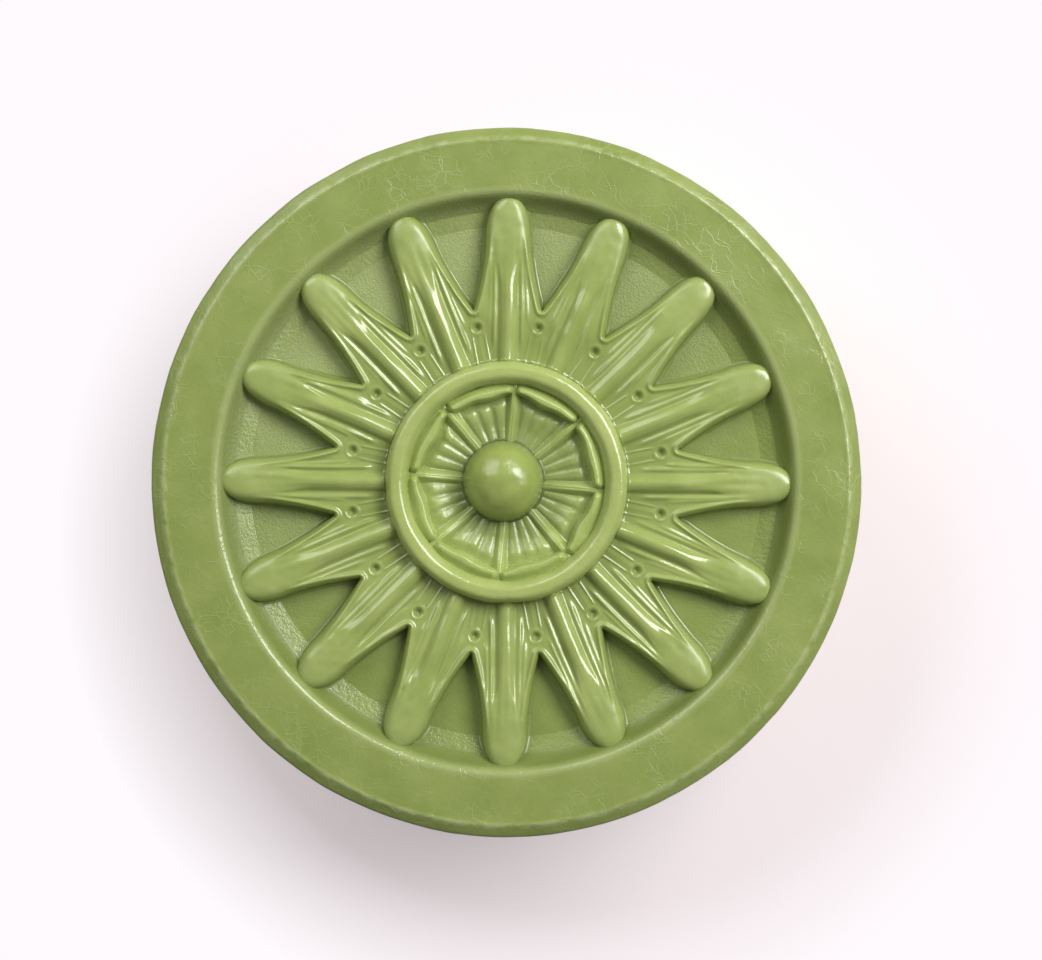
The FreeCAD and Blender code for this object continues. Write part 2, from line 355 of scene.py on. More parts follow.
def mix_colour(tree, share, first, second):
    """Blend of two colours; each may be a socket or an RGB triple."""
    node = tree.nodes.new("ShaderNodeMix")
    node.data_type = "RGBA"
    sockets = [item for item in node.inputs if item.type == "RGBA"]
    for socket, value in zip(sockets, (first, second)):
        if isinstance(value, tuple):
            socket.default_value = (*value, 1)
        else:
            link(tree, value, socket)
    link(tree, share, node.inputs["Factor"])
    return next(item for item in node.outputs if item.type == "RGBA")


def add_bump(tree, height, strength, depth, normal=None):
    """Bump node over an optional earlier one; depth is in millimetres."""
    node = add_node(tree, "ShaderNodeBump", Strength=strength, Distance=depth * MM)
    link(tree, height, node.inputs["Height"])
    if normal is not None:
        link(tree, normal, node.inputs["Normal"])
    return node.outputs["Normal"]


# ---------------------------------------------------------------- materials

SOAP_LIGHT = (0.322, 0.392, 0.112)
SOAP_DEEP = (0.262, 0.330, 0.080)
# Pale colour of worn edges, also used for painted highlight and painted sheen.
SOAP_SCUFF_AND_SHEEN = (0.47, 0.53, 0.24)
SOAP_CRAZED = (0.42, 0.49, 0.20)

# Share of the deep colour that is left where shade is painted, as in hollows and on the recess wall.
SHADE_SHARE = 0.70
SOAP_PAINTED_SHADE = tuple(SHADE_SHARE * part for part in SOAP_DEEP)

# Fineness of each texture, in features to the metre.
MOTTLE = 230
GLOSS_PATCHES = 420
SKIN_GRAIN = 1300
BODY_SKIN = 900
PEBBLES = 4400
GROOVES = 7000
GROOVE_BREAKS = 2600
COARSE_CRAZING = 380
FINE_CRAZING = 720
CRAZED_PATCHES = 300

# Satin stretch of the rays: radii where it starts, is full, is last full and ends.
SATIN = (21.5, 24.5, 26.9, 27.7)


class Soap:
    """Waxy soap, mottled green: a material's nodes, with its colour and roughness so far."""

    def __init__(self, name, gloss, specular, tint):
        self.material = bpy.data.materials.new(name)
        self.material.use_nodes = True
        self.tree = self.material.node_tree
        self.place = self.tree.nodes.new("ShaderNodeTexCoord").outputs["Object"]
        self.radius = radius_from_axis(self.tree, self.place)
        self.deep = tuple(a * b for a, b in zip(tint, SOAP_DEEP))
        light = tuple(a * b for a, b in zip(tint, SOAP_LIGHT))
        mottle = ramp(self.tree, noise(self.tree, self.place, MOTTLE, detail=4.0), 0.32, 0.70)
        self.colour = mix_colour(self.tree, mottle, self.deep, light)
        patches = noise(self.tree, self.place, GLOSS_PATCHES)
        self.rough = ramp(self.tree, patches, 0.3, 0.7, gloss, gloss + 0.10)
        shader = self.tree.nodes["Principled BSDF"]
        shader.inputs["IOR"].default_value = 1.48
        shader.inputs["Specular IOR Level"].default_value = specular
        shader.inputs["Subsurface Weight"].default_value = 0.22
        shader.inputs["Subsurface Radius"].default_value = (1.0, 0.95, 0.45)
        shader.inputs["Subsurface Scale"].default_value = 0.4 * MM

    def cover(self, mask, colour, most=1.0):
        """Blend a colour over the soap's own where the mask is 1, by the share most."""
        share = times(self.tree, mask, most)
        self.colour = mix_colour(self.tree, share, self.colour, colour)

    def roughen(self, mask, amount):
        """Add to the roughness where the mask is 1; a negative amount polishes."""
        self.rough = plus(self.tree, self.rough, times(self.tree, mask, amount))

    def wired(self, normal):
        """The material, with colour, roughness and normal wired to its shader."""
        shader = self.tree.nodes["Principled BSDF"]
        link(self.tree, self.colour, shader.inputs["Base Color"])
        link(self.tree, self.rough, shader.inputs["Roughness"])
        link(self.tree, normal, shader.inputs["Normal"])
        return self.material


def relief_material(name, gloss, tint, low, high, grain=0.02, shade_share=SHADE_SHARE):
    """Glossy soap of the raised members, with shade painted into their hollows between two heights.

    The heights are over the floor, and grain is the depth of the fine skin, in millimetres.
    """
    soap = Soap(name, gloss, specular=0.90, tint=tint)
    tree = soap.tree
    height = split_axes(tree, soap.place)[2]
    # Painted shade: the colour darkens low down between the members and fades out upwards.
    hollow = ramp(tree, height, (FLOOR + low) * MM, (FLOOR + high) * MM, 1.0, 0.0)
    soap.cover(hollow, tuple(shade_share * part for part in soap.deep))
    # Satin along the outer half of the rays, and polished again at their very tips.
    soap.roughen(band(tree, soap.radius, *SATIN), 0.17)
    skin = noise(tree, soap.place, SKIN_GRAIN, roughness=0.6)
    return soap.wired(add_bump(tree, skin, strength=0.5, depth=grain))


def craze(tree, place, scale, width, shift):
    """Thin branching lines of a crazed skin: 1 on a line, 0 between."""
    warp = add_node(tree, "ShaderNodeTexNoise", Scale=scale * 0.9, Detail=4.0)
    link(tree, place, warp.inputs["Vector"])
    bend = tree.nodes.new("ShaderNodeVectorMath")
    bend.operation = "SCALE"
    bend.inputs["Scale"].default_value = 0.85 / scale
    link(tree, warp.outputs["Color"], bend.inputs[0])
    bent = vector_maths(tree, "ADD", place, bend.outputs["Vector"])
    cells = add_node(tree, "ShaderNodeTexVoronoi", Scale=scale)
    cells.feature = "DISTANCE_TO_EDGE"
    moved = vector_maths(tree, "ADD", bent, (shift, shift * 0.7, 0))
    link(tree, moved, cells.inputs["Vector"])
    return ramp(tree, cells.outputs["Distance"], 0.0, width, 1.0, 0.0)


def shade_wall(soap):
    """Painted shade on the leaning wall of the recess: a darker colour over its band."""
    wall = band(soap.tree, soap.radius, LEDGE_OUT - 0.3, LEDGE_OUT + 0.1,
                RIM_IN - 1.1, RIM_IN - 0.5)
    soap.cover(wall, SOAP_PAINTED_SHADE, most=0.68)


def wear_and_highlight_edges(soap):
    """Pale and polished edges, partly wear and partly painted highlight: the lip of the recess, and
    patches of the rim's outer crease.
    """
    tree = soap.tree
    patches = noise(tree, soap.place, BODY_SKIN, detail=4.0, roughness=0.6)
    crease = band(tree, soap.radius, RIM_OUT - 0.15, RIM_OUT + 0.2, RIM_OUT + 0.4, RIM_OUT + 0.7)
    crease = times(tree, crease, ramp(tree, patches, 0.35, 0.60))
    lip = band(tree, soap.radius, RIM_IN - 1.0, RIM_IN - 0.5, RIM_IN - 0.1, RIM_IN + 0.3)
    # Pale colour on crease and lip: partly wear, partly a painted highlight.
    soap.cover(plus(tree, times(tree, crease, 0.85), times(tree, lip, 0.42)), SOAP_SCUFF_AND_SHEEN)
    soap.roughen(maths(tree, "MAXIMUM", crease, lip), -0.12)


def shade_and_sheen_floor(soap, in_recess):
    """Painted shade over the recess, and painted sheen on its side towards the upper left, where it
    is also frosted: gives that side.
    """
    tree = soap.tree
    # Painted shade: the floor of the recess is darkened.
    soap.cover(in_recess, SOAP_PAINTED_SHADE, most=0.24)
    x, y, _ = split_axes(tree, soap.place)
    along = plus(tree, times(tree, x, -0.5), times(tree, y, 0.87))
    frost_and_sheen = ramp(tree, along, -4 * MM, 23 * MM)
    # Painted sheen: the floor is paler towards the upper left.
    soap.cover(times(tree, frost_and_sheen, in_recess), SOAP_SCUFF_AND_SHEEN, most=0.34)
    return frost_and_sheen


def craze_rim(soap, on_rim):
    """Sparse pale craze lines on the rim, coarse and fine: gives the lines."""
    tree = soap.tree
    coarse = craze(tree, soap.place, COARSE_CRAZING, width=0.035, shift=0.0)
    fine = craze(tree, soap.place, FINE_CRAZING, width=0.05, shift=0.4)
    sparse = ramp(tree, noise(tree, soap.place, CRAZED_PATCHES, detail=2.0), 0.42, 0.62)
    lines = times(tree, times(tree, maths(tree, "MAXIMUM", coarse, fine), sparse), on_rim)
    soap.cover(lines, SOAP_CRAZED, most=0.30)
    return lines


def turned_marks(soap):
    """Fine grooves round the axis, broken up along their length."""
    tree = soap.tree
    across = tree.nodes.new("ShaderNodeCombineXYZ")
    link(tree, soap.radius, across.inputs["X"])
    grooves = noise(tree, across.outputs["Vector"], GROOVES, detail=2.0, roughness=0.6)
    breaks = ramp(tree, noise(tree, soap.place, GROOVE_BREAKS, detail=2.0), 0.40, 0.58)
    return times(tree, grooves, breaks)


def body_material(name):
    """Satin soap of the disc: crazed rim, turned ledge and a fine pebbled floor, with painted shade,
    highlight and sheen.
    """
    soap = Soap(name, gloss=0.27, specular=0.60, tint=(1.02, 1.02, 1.02))
    tree = soap.tree
    on_rim = ramp(tree, soap.radius, (RIM_IN - 1.2) * MM, (RIM_IN - 0.4) * MM)
    in_recess = minus(tree, 1.0, on_rim)
    shade_wall(soap)
    wear_and_highlight_edges(soap)
    frost_and_sheen = shade_and_sheen_floor(soap, in_recess)
    lines = craze_rim(soap, on_rim)

    # The ledge is a little smoother, and turned rather than pebbled.
    ledge = band(tree, soap.radius, LEDGE_IN, LEDGE_IN + 0.06, LEDGE_OUT - 0.1, LEDGE_OUT + 0.1)
    soap.roughen(ledge, -0.05)
    pebbled = minus(tree, in_recess, times(tree, ledge, 0.7))
    pebbled = times(tree, pebbled, ramp(tree, frost_and_sheen, 0.0, 0.5, 0.35, 1.0))
    pebbles = times(tree, noise(tree, soap.place, PEBBLES, roughness=0.7), pebbled)
    marks = times(tree, turned_marks(soap), ledge)

    skin = noise(tree, soap.place, BODY_SKIN, detail=4.0, roughness=0.6, distortion=1.5)
    normal = add_bump(tree, skin, strength=0.5, depth=0.05)
    normal = add_bump(tree, lines, strength=0.6, depth=0.03, normal=normal)
    normal = add_bump(tree, pebbles, strength=0.9, depth=0.14, normal=normal)
    normal = add_bump(tree, marks, strength=0.8, depth=0.05, normal=normal)
    return soap.wired(normal)


# ---------------------------------------------------------------- disc

def recess_height(radius):
    """Height of the disc's upper face above the floor, from the axis out to the rim."""
    ledge = LEDGE_RISE * np.clip((radius - LEDGE_IN) / (LEDGE_OUT - LEDGE_IN), 0, 1)
    share = np.clip((radius - LEDGE_OUT) / (RIM_IN - LEDGE_OUT), 0, 1)
    rising, falling = share ** WALL_EASING, (1 - share) ** WALL_EASING
    steep = WALL_STEEP_SHARE * rising / (rising + falling)
    rounded = (1 - WALL_STEEP_SHARE) * (1 - (1 - share) ** 2)
    return ledge + (RECESS - LEDGE_RISE) * (rounded + steep)


def arc_points(centre_radius, centre_height, size, first, last, count):
    """Points of an arc in the half-section; angles in degrees up from the outward direction."""
    turn = np.radians(np.linspace(first, last, count))
    return [(centre_radius + size * math.cos(t), centre_height + size * math.sin(t)) for t in turn]


def back_points():
    """Flat back, from the axis out, and its rounded edge."""
    flat = [(radius, 0.0) for radius in np.linspace(0, OUTSIDE - BACK_ROUND, 14)]
    return flat + arc_points(OUTSIDE - BACK_ROUND, BACK_ROUND, BACK_ROUND, -90, 0, 10)[1:]


def shoulder_points():
    """Straight side, rounded corner, bevel, and the crease where the bevel meets the rim."""
    tilt = math.radians(BEVEL_TILT)
    corner_radius = OUTSIDE - CORNER_ROUND
    bevel_end = corner_radius + CORNER_ROUND * math.sin(tilt)
    bevel_start = RIM_OUT + CREASE_ROUND * math.sin(tilt)
    bevel_top = RIM_TOP - CREASE_ROUND * (1 - math.cos(tilt))
    bevel_low = bevel_top - (bevel_end - bevel_start) * math.tan(tilt)
    corner_height = bevel_low - CORNER_ROUND * math.cos(tilt)
    side = [(OUTSIDE, height) for height in np.linspace(BACK_ROUND, corner_height, 18)[1:-1]]
    corner = arc_points(corner_radius, corner_height, CORNER_ROUND, 0, 90 - BEVEL_TILT, 12)
    bevel = list(zip(np.linspace(bevel_end, bevel_start, 9)[1:-1],
                     np.linspace(bevel_low, bevel_top, 9)[1:-1]))
    crease_height = RIM_TOP - CREASE_ROUND
    crease = arc_points(RIM_OUT, crease_height, CREASE_ROUND, 90 - BEVEL_TILT, 90, 9)
    return side + corner + bevel + crease


def rim_points():
    """Flat rim, from its crease inwards, closer together near the crease."""
    near_crease = RIM_OUT - 0.5
    radii = [*np.linspace(RIM_OUT, near_crease, 6)[1:], *np.linspace(near_crease, RIM_IN, 24)[1:]]
    return [(radius, RIM_TOP) for radius in radii]


def recess_points():
    """Leaning wall, ledge and floor, from the rim in to the axis."""
    wall = np.linspace(RIM_IN, LEDGE_OUT, 24)[1:]
    ledge = np.linspace(LEDGE_OUT, LEDGE_IN + 0.05, 10)[1:]
    sloping = [(radius, FLOOR + recess_height(radius)) for radius in (*wall, *ledge, LEDGE_IN)]
    flat = [(radius, FLOOR) for radius in np.linspace(LEDGE_IN - 0.05, 11.0, 40)]
    return sloping + flat + [(radius, FLOOR) for radius in (8.0, 4.0, 0.0)]


EDGE_NICKS = Ripples(22, 1.6, 0.006)


def uneven_side(radius, height, angle):
    """Radius of the disc's outer face once it is a little out of round and nicked."""
    wobble = Ripples(21, 9.0, 0.022)
    x = OUTSIDE * np.sin(angle)
    y = OUTSIDE * np.cos(angle)
    near_side = smooth(OUTSIDE - 1.8, OUTSIDE - 0.2, radius) * smooth(0.5, 3.0, height)
    return radius - near_side * (0.01 + wobble(x, y) + EDGE_NICKS(x, y))


def uneven_top(radius, height, x, y):
    """Height of the disc's upper face once it has a hand-cast skin and a fine raised crease."""
    upper = smooth(FLOOR - 1.0, FLOOR - 0.5, height) * smooth(1.0, 6.0, radius)
    skin = SOFT_WAVES(x, y) * 1.6 + HAND_WAVES(x, y) * 0.9
    crease = 0.035 * bump(radius - RIM_OUT - 0.12, 0.22) * (height > RIM_TOP - 0.4)
    crease = crease * (1.0 + 90 * EDGE_NICKS(x * 1.3, y * 1.3))
    sunk = 0.05 * smooth(RIM_IN, RIM_OUT, radius)
    return np.minimum(height + upper * (skin - sunk) + crease, RIM_TOP + 0.09)


def make_disc(material):
    """Turned disc with an uneven hand-cast skin and a fine crease where the rim ends."""
    steps = 520
    profile = np.array(back_points() + shoulder_points() + rim_points() + recess_points())
    angle = np.tile(full_turn(steps), (1, len(profile)))
    radius = np.tile(profile[:, 0], (steps, 1))
    height = np.tile(profile[:, 1], (steps, 1))
    radius = uneven_side(radius, height, angle)
    x = radius * np.sin(angle)
    y = radius * np.cos(angle)
    height = uneven_top(radius, height, x, y)
    faces = grid_faces(steps, len(profile), closed_rows=True)
    return make_piece("disc", as_points(x, y, height), faces, material, "puck_body")


# ---------------------------------------------------------------- outline of a ray

def flank_half_width(y):
    """Half-width of a ray from its notches to the start of its oval tip."""
    share = np.clip((y - NOTCH_Y) / (TIP_CENTRE - NOTCH_Y), 0, 1)
    return TIP_HALF + (NOTCH_X - TIP_HALF) * (1 - share) ** 1.7


def ray_rows():
    """Rows across a ray: (y, half-width) from under the hub ring out to the tip."""
    root = [(y, y * math.tan(HALF_RAY)) for y in np.arange(RING_OUT - 0.5, NOTCH_Y, 0.1)]
    body = [(y, float(flank_half_width(y))) for y in np.arange(NOTCH_Y, TIP_CENTRE, 0.1)]
    turn = np.radians(np.linspace(0, 90, 52))
    tip = [(TIP_CENTRE + TIP_LENGTH * math.sin(t), TIP_HALF * math.cos(t)) for t in turn]
    return np.array(root), np.array(body), np.array(tip)


def outline_distance(x, y, outline):
    """Distance from each point to the nearest piece of an open outline."""
    best = np.full(x.shape, np.inf)
    for (x0, y0), (x1, y1) in zip(outline[:-1], outline[1:]):
        run_x, run_y = x1 - x0, y1 - y0
        share = ((x - x0) * run_x + (y - y0) * run_y) / (run_x ** 2 + run_y ** 2)
        share = np.clip(share, 0, 1)
        best = np.minimum(best, np.hypot(x - x0 - share * run_x, y - y0 - share * run_y))
    return best


def outward_normals(rows):
    """Direction out of the ray's flank at the end of each row."""
    along = np.gradient(rows[:, 0])
    out = np.gradient(rows[:, 1])
    length = np.hypot(along, out)
    normal_x, normal_y = along / length, -out / length
    normal_x[-1], normal_y[-1] = 0.0, 1.0
    return normal_x[:, None], normal_y[:, None]


# ---------------------------------------------------------------- upper face of a ray
#
# Each function gives a height over a ray's plan.  y runs out along the ray from the axis.
# across is how far a point is to the right of the ray's bent middle line, side is the same
# without its sign, and free goes from 1 on the middle line to 0 against a neighbour.

class RayLook:
    """Small differences that make each ray hand-worked."""

    def __init__(self, number):
        draw = np.random.default_rng(400 + number)
        self.bend = draw.uniform(-0.08, 0.08)
        self.rib_width = draw.uniform(0.94, 1.06)
        self.rib_height = draw.uniform(0.92, 1.06)
        self.swell_start = draw.uniform(-0.8, 0.8)
        self.ridge_shift = draw.uniform(-0.10, 0.10, 4)
        self.ridge_height = draw.uniform(0.7, 1.2, 4)
        self.ridge_end = draw.uniform(-1.0, 1.0, 4)
        self.hollow = draw.uniform(0.2, 1.0, 2)
        self.tip_drop = draw.uniform(0.0, 0.12)
        self.crease_number = draw.uniform(3.5, 9, 4)
        self.crease_phase = draw.uniform(0, 6.3, 4)
        self.crease_slant = draw.uniform(-0.16, 0.16, 4)
        self.waves = Ripples(500 + number, 3.4, 0.012)
        self.dabs = Ripples(600 + number, 1.7, 0.008)

    def creases(self, across, y):
        """Faint lengthwise tool marks, fading out towards the tip and near the ring."""
        total = 0.0
        for number, phase, slant in zip(self.crease_number, self.crease_phase, self.crease_slant):
            total = total + np.sin(number * across + slant * y * 3 + phase)
        return 0.011 * total * smooth(14.5, 17.5, y) * (1 - smooth(21.5, 27.0, y))

    def skin(self, x, y, across):
        """All the unevenness of one ray."""
        return self.waves(x, y) + self.creases(across, y) + self.dabs(x, y) * smooth(18, 23, y)


def rising_bed(y, side, half, look):
    """The ray's bed: it rises outwards and swells into a crown along the finger."""
    swell = smooth(FINGER_SWELLS[0] + look.swell_start, FINGER_SWELLS[1], y)
    bed = BED_HEIGHT + BED_RISE * smooth(*BED_RISES, y) + FINGER_SWELL * swell
    return bed + FINGER_CROWN * swell * np.clip(1 - (side / half) ** 3.2, 0, 1)


def middle_rib(y, side, look):
    """Rib down the middle: a flat shelf with a crest on it, which spreads and fades outwards."""
    spread = smooth(*RIB_SPREADS, y)
    shelf_half = 0.82 * look.rib_width + 0.50 * spread
    crest_half = 0.55 + 0.40 * spread
    shelf = SHELF_HEIGHT * (1 - smooth(shelf_half - 0.30, shelf_half + 0.26, side))
    crest = CREST_HEIGHT * np.exp(-(side / crest_half) ** 2.4)
    return (shelf + crest) * look.rib_height * (1 - smooth(*RIB_FADES, y))


def side_ridges(y, across, free, look):
    """Two carved lines on each side of the rib; the outer one is short."""
    side = np.abs(across)
    inner = np.where(across > 0, 0, 1)
    outer = inner + 2
    line = 1.42 - 0.006 * (y - RING_OUT) + look.ridge_shift[inner] * free
    long_one = LONG_RIDGE * look.ridge_height[inner] * bump(side - line, 0.21)
    long_one = long_one * smooth(*LONG_RIDGE_STARTS, y)
    long_one = long_one * (1 - smooth(*LONG_RIDGE_ENDS, y - look.ridge_end[inner]))
    line = 2.02 - 0.035 * (y - RING_OUT) + look.ridge_shift[outer] * free
    short_one = SHORT_RIDGE * look.ridge_height[outer] * bump(side - line, 0.18)
    short_one = short_one * smooth(*SHORT_RIDGE_STARTS, y) * (1 - smooth(*SHORT_RIDGE_ENDS, y))
    return long_one + short_one


def edge_bead(y, edge):
    """Bead along the flanks, just inside the edge."""
    return BEAD_HEIGHT * bump(edge - 0.52, 0.22) * (1 - smooth(*BEAD_ENDS, y))


def neighbour_flute(x, y, sector):
    """Flute and sag beside the plane where two rays meet, near the hub ring."""
    to_plane = (sector - np.abs(x)) * math.cos(HALF_RAY)
    sag = 0.12 * bump(to_plane - 0.6, 0.8) * (1 - smooth(*SAG_ENDS, y))
    flute = 0.08 * bump(to_plane - 0.62, 0.11) * (1 - smooth(*FLUTE_ENDS, y))
    return flute - sag


def drilled_pit(x, y):
    """Round pit that two neighbours share, with a faint raised lip."""
    pit_x = PIT_PLACE * math.sin(HALF_RAY)
    pit_y = PIT_PLACE * math.cos(HALF_RAY)
    to_pit = np.hypot(np.abs(x) - pit_x, y - pit_y)
    lip = PIT_LIP * bump(to_pit - PIT_RADIUS - 0.08, 0.15)
    return lip - PIT_DEPTH * (1 - smooth(0.0, PIT_RADIUS, to_pit))


def root_bead(x, y):
    """Thin bead where the ray meets the hub ring."""
    return ROOT_BEAD * bump(np.hypot(x, y) - RING_OUT - 0.10, 0.07)


def finger_hollows(y, across, look):
    """Depth of two shallow hollows in the finger, one on each side."""
    hollow = 0.0
    for sign, depth in zip((-1, 1), look.hollow):
        reach = np.hypot((across - sign * 1.05) / 0.55, (y - 25.3) / 1.2)
        hollow = hollow + FINGER_HOLLOW * depth * bump(reach, 1.0)
    return hollow


def ray_surface(x, y, edge, look):
    """Height of a ray's upper face above the floor, before its outer edge is rounded."""
    sector = y * math.tan(HALF_RAY)
    half = np.where(y < NOTCH_Y, sector, flank_half_width(y))
    free = 1 - np.clip(np.abs(x) / np.maximum(sector, 0.1), 0, 1) ** 4
    across = x + look.bend * free * np.sin((y - RING_OUT) * 0.35)
    side = np.abs(across)
    height = rising_bed(y, side, half, look) + middle_rib(y, side, look)
    height = height + side_ridges(y, across, free, look) + edge_bead(y, edge)
    height = height + neighbour_flute(x, y, sector) + drilled_pit(x, y) + root_bead(x, y)
    height = height - finger_hollows(y, across, look)
    height = height - look.tip_drop * smooth(25.2, TIP_END, y)
    return height + look.skin(x, y, across) * free


def round_over(x, y, edge, top, low):
    """Roll the upper face over its edge: an elliptic edge that turns into a domed finger."""
    rounding = 0.42 + 0.10 * smooth(19, 25, y)
    to_tip = np.clip((y - TIP_CENTRE) / TIP_LENGTH, 0, 1)
    finger = np.hypot(x / np.maximum(flank_half_width(y), TIP_HALF), to_tip)
    dome = np.sqrt(1 - np.clip(finger, 0, 1) ** 6.0)
    blend = smooth(*FINGER_ROUNDS, y)
    return low + (top - low) * (round_cap(1 - edge / rounding) * (1 - blend) + dome * blend)


# ---------------------------------------------------------------- making a ray

def foot_columns(x, y, sign, normals, is_flank):
    """Columns of the fillet at a ray's foot, from its flank out to the floor, then under it."""
    turn = np.radians(np.linspace(8, 90, 8))
    reach = 0.03 + FOOT_FILLET * (1 - np.cos(turn))
    rise = FOOT_FILLET * (1 - np.sin(turn)) - 0.01
    foot_x = np.where(is_flank, x + sign * normals[0] * reach, x)
    foot_y = np.where(is_flank, y + normals[1] * reach, y)
    foot_z = np.minimum(recess_height(np.hypot(foot_x, foot_y)), LEDGE_RISE) + rise
    foot_x = np.concatenate([foot_x, foot_x[:, -1:]], 1)
    foot_y = np.concatenate([foot_y, foot_y[:, -1:]], 1)
    foot_z = np.concatenate([foot_z, np.full((len(x), 1), -BURIED)], 1)
    columns = np.stack([foot_x, foot_y, foot_z], -1)
    return columns if sign > 0 else columns[:, ::-1]


def ray_sheet(look):
    """Grid of points over one ray: a foot, the upper face and the other foot."""
    root, body, tip = ray_rows()
    rows = np.concatenate([root, body, tip])
    steps = np.linspace(-1, 1, 75)
    across = 0.55 * steps + 0.45 * np.sin(steps * math.pi / 2)
    y = np.tile(rows[:, :1], (1, len(across)))
    x = rows[:, 1:] * across[None, :]
    flank = np.concatenate([body, tip])
    outline = [(half, along) for along, half in flank[::3]] + [(0.0, TIP_END)]
    edge = outline_distance(np.abs(x), y, outline)

    ground = np.minimum(recess_height(np.hypot(x, y)), LEDGE_RISE)
    low = ground + FOOT_FILLET + 0.08
    top = round_over(x, y, edge, ray_surface(x, y, edge, look), low)

    normals = outward_normals(rows)
    is_flank = (np.arange(len(rows)) >= len(root))[:, None]
    left = foot_columns(x[:, :1], y[:, :1], -1, normals, is_flank)
    right = foot_columns(x[:, -1:], y[:, -1:], 1, normals, is_flank)
    return np.concatenate([left, np.stack([x, y, top], -1), right], 1)


def make_ray(node, number, material):
    """One ray: its upper face, rounded flanks, and a fillet where it stands on the floor."""
    sheet = ray_sheet(RayLook(number))
    x, y = turned(sheet[..., 0], sheet[..., 1], STAR_TURN + RAY_STEP * number)
    above = smooth(0.0, 0.6, sheet[..., 2])
    height = FLOOR + sheet[..., 2] + above * hand_worked(x, y)
    rows, columns = height.shape
    faces = grid_faces(rows, columns) + underside_faces(rows, columns) + [row_face(0, columns)]
    return make_piece(node, as_points(x, y, height), faces, material, node)


# ---------------------------------------------------------------- hub ring

def make_ring(material):
    """Hub ring with a round crown, a little uneven along its length."""
    steps, across = 420, 44
    turn = full_turn(steps)
    half = RING_WIDTH / 2
    middle = RING_OUT - half
    spread = np.sin(np.linspace(-1, 1, across)[None, :] * math.pi / 2)
    edge = Ripples(31, 4.0, 0.03)
    uneven = edge(middle * np.sin(turn), middle * np.cos(turn))
    radius = middle + half * spread + uneven * spread
    side = np.where(spread < 0, RING_SIDE_IN, RING_SIDE_OUT)
    fall = np.where(spread < 0, np.abs(spread) ** 2.5, np.abs(spread) ** 3.4)
    crown = side + (RING_CROWN - side) * (1 - fall) ** 0.6
    foot = np.full((1, 1), -BURIED)
    radius = np.concatenate([radius[:, :1], radius, radius[:, -1:]], 1)
    height = np.tile(np.concatenate([foot, crown, foot], 1), (steps, 1))
    x, y = radius * np.sin(turn), radius * np.cos(turn)
    height = FLOOR + height + (height > 0) * hand_worked(x, y)
    columns = across + 2
    faces = grid_faces(steps, columns, closed_rows=True)
    faces += underside_faces(steps, columns, closed_rows=True)
    points = as_points(x, y, height)
    return make_piece("hub_ring_crown", points, faces, material, "hub_ring")


# ---------------------------------------------------------------- petals

def cap_edge(angle, draw, free):
    """Radius of the cap's wavy inner edge."""
    bulge = 0.14 * draw.uniform(-1, 1) * np.cos(angle * 8 + draw.uniform(-1, 1))
    bulge = bulge + 0.10 * np.sin(angle * 15 + draw.uniform(0, 6))
    return CAP_EDGE / np.cos(angle) * 0.985 + bulge * free


def cap_pillow(radius, inner, to_side):
    """Pillow along the hub ring with rounded ends, as a share of the cap's height."""
    share = np.clip((radius - inner) / (RING_IN - inner + 0.08), 0, 1)
    end = np.sqrt(1 - np.clip(1 - (to_side - 0.10) / 0.60, 0, 1) ** 2)
    roll = np.sqrt(1 - (1 - np.clip(share / 0.34, 0, 1)) ** 2)
    return (0.42 + 0.58 * end) * roll * (1 - 0.26 * smooth(0.42, 1.12, share))


def petal_ribs(angle, out, draw):
    """Three ribs that fan out from the dome and stop short of the cap."""
    ribs = 0.0
    for place in (-1, 0, 1):
        middle = place * draw.uniform(0.185, 0.205) + draw.uniform(-0.015, 0.015)
        width = PETAL_RIB_WIDTH * draw.uniform(0.92, 1.08)
        reach = draw.uniform(0.88, 0.98)
        tall = draw.uniform(0.30, 0.38) * (0.60 + 0.40 * out)
        across = np.exp(-np.abs((angle - middle) / width) ** 3.0)
        ribs = ribs + tall * across * (1 - smooth(reach - 0.22, reach + 0.06, out))
    return ribs


def petal_surface(radius, angle, number):
    """Height of a petal above the floor; the angle is from its middle, in radians."""
    draw = np.random.default_rng(700 + number)
    half = math.radians(PETAL_STEP / 2)
    to_side = radius * np.sin(np.clip(half - np.abs(angle), 0, None))
    free = 1 - (np.abs(angle) / half) ** 4
    inner = cap_edge(angle, draw, free)
    cap = CAP_HEIGHT * cap_pillow(radius, inner, to_side)
    out = np.clip((radius - DOME_RADIUS) / (inner - DOME_RADIUS), 0, 1)
    tray = TRAY_HEIGHT + TRAY_RISE * smooth(0.25, 1.0, out)
    ribs = petal_ribs(angle, out, draw)
    border = (BORDER_HEIGHT + BORDER_RISE * out) * np.exp(-(to_side / 0.50) ** 2.4)
    groove = PETAL_GROOVE * bump(to_side, 0.13)
    return tray + np.maximum(np.maximum(ribs, border), cap - tray) - groove


